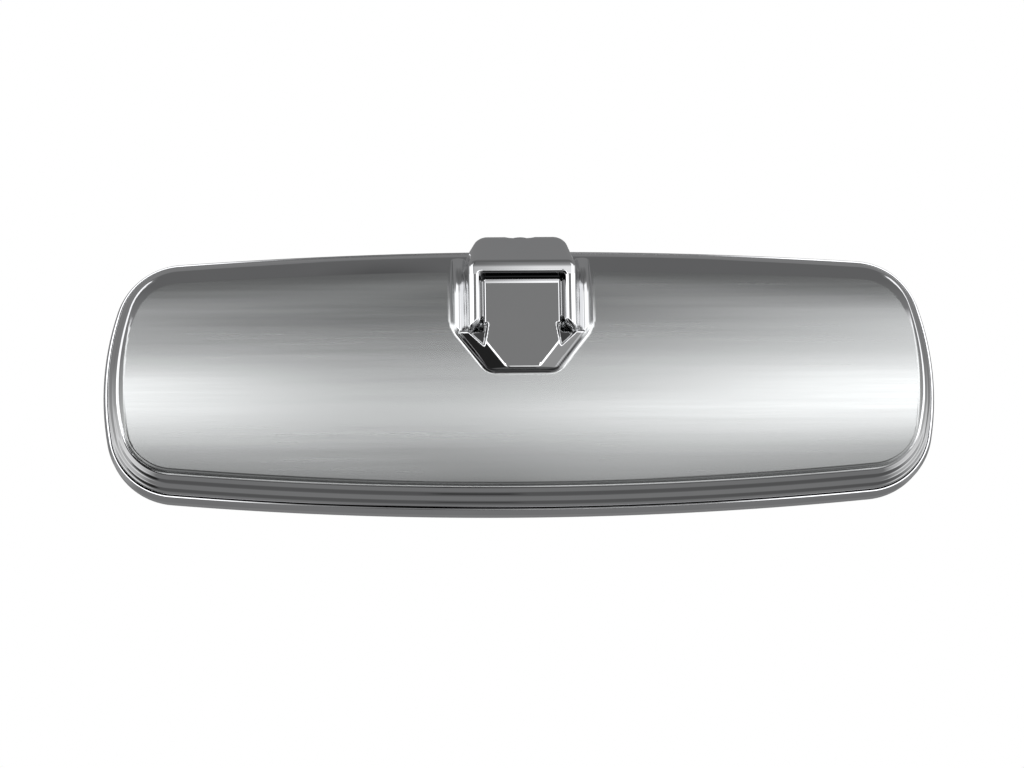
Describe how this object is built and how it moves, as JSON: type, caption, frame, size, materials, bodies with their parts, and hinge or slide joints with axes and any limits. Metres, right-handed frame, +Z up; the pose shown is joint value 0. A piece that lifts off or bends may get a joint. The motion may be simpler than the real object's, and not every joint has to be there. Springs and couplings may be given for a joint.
{
  "type": "interior rearview mirror",
  "caption": "Car interior mirror head with a stepped bright back, a boss over its ball joint, and a glass held by a bezel.",
  "frame": {"origin": "centre of the flat end face of the ball stud, at the top of the boss, where the arm is screwed on", "axes": "+X along the width, +Y towards the glass and the driver, +Z up; the bright back faces -Y"},
  "size_m": [0.2256, 0.0323, 0.0744],
  "materials": {
    "stainless_back": "brushed panel, mirror polished rim and boss",
    "chrome_bezel": "mirror polished",
    "black_rubber": "matt",
    "silvered_glass": "silvered glass",
    "fibre_board": "pressed fibre",
    "grey_foam": "open foam",
    "spring_steel": "blued",
    "zinc_steel": "zinc passivated",
    "plated_fasteners": "bright zinc",
    "white_nylon": "natural nylon",
    "plated_stud": "plated"
  },
  "bodies": {
    "stud": {"ball_stud": "plated_stud", "dust_cap": "black_rubber"},
    "rear_pad": {"pressure_pad_rear": "white_nylon"},
    "front_pad": {"pressure_pad_front": "white_nylon"},
    "head": {"back_shell": "stainless_back", "bezel_frame": "chrome_bezel", "glass_gasket": "black_rubber", "mirror_glass": "silvered_glass", "backing_board": "fibre_board", "foam_pad_left": "grey_foam", "foam_pad_right": "grey_foam", "bezel_clip_1": "spring_steel", "bezel_clip_2": "spring_steel", "bezel_clip_3": "spring_steel", "bezel_clip_4": "spring_steel", "bezel_clip_5": "spring_steel", "bezel_clip_6": "spring_steel", "carrier_bracket": "zinc_steel", "socket_plate_rear": "zinc_steel", "socket_plate_front": "zinc_steel", "clamp_screw_1": "plated_fasteners", "clamp_screw_2": "plated_fasteners", "clamp_screw_3": "plated_fasteners", "clamp_screw_4": "plated_fasteners", "clamp_nut_1": "plated_fasteners", "clamp_nut_2": "plated_fasteners", "clamp_nut_3": "plated_fasteners", "clamp_nut_4": "plated_fasteners", "spring_washer_1": "spring_steel", "spring_washer_2": "spring_steel", "spring_washer_3": "spring_steel", "spring_washer_4": "spring_steel"}
  },
  "joints": [
    {"name": "head_yaw", "type": "hinge", "parent": "stud", "child": "rear_pad", "pos_m": [0, 0, -0.011], "axis": [0, 0, 1], "range_deg": [-35, 35]},
    {"name": "head_pitch", "type": "hinge", "parent": "rear_pad", "child": "front_pad", "pos_m": [0, 0, -0.011], "axis": [1, 0, 0], "range_deg": [-9, 9]},
    {"name": "head_roll", "type": "hinge", "parent": "front_pad", "child": "head", "pos_m": [0, 0, -0.011], "axis": [0, 1, 0], "range_deg": [-6, 6]}
  ]
}
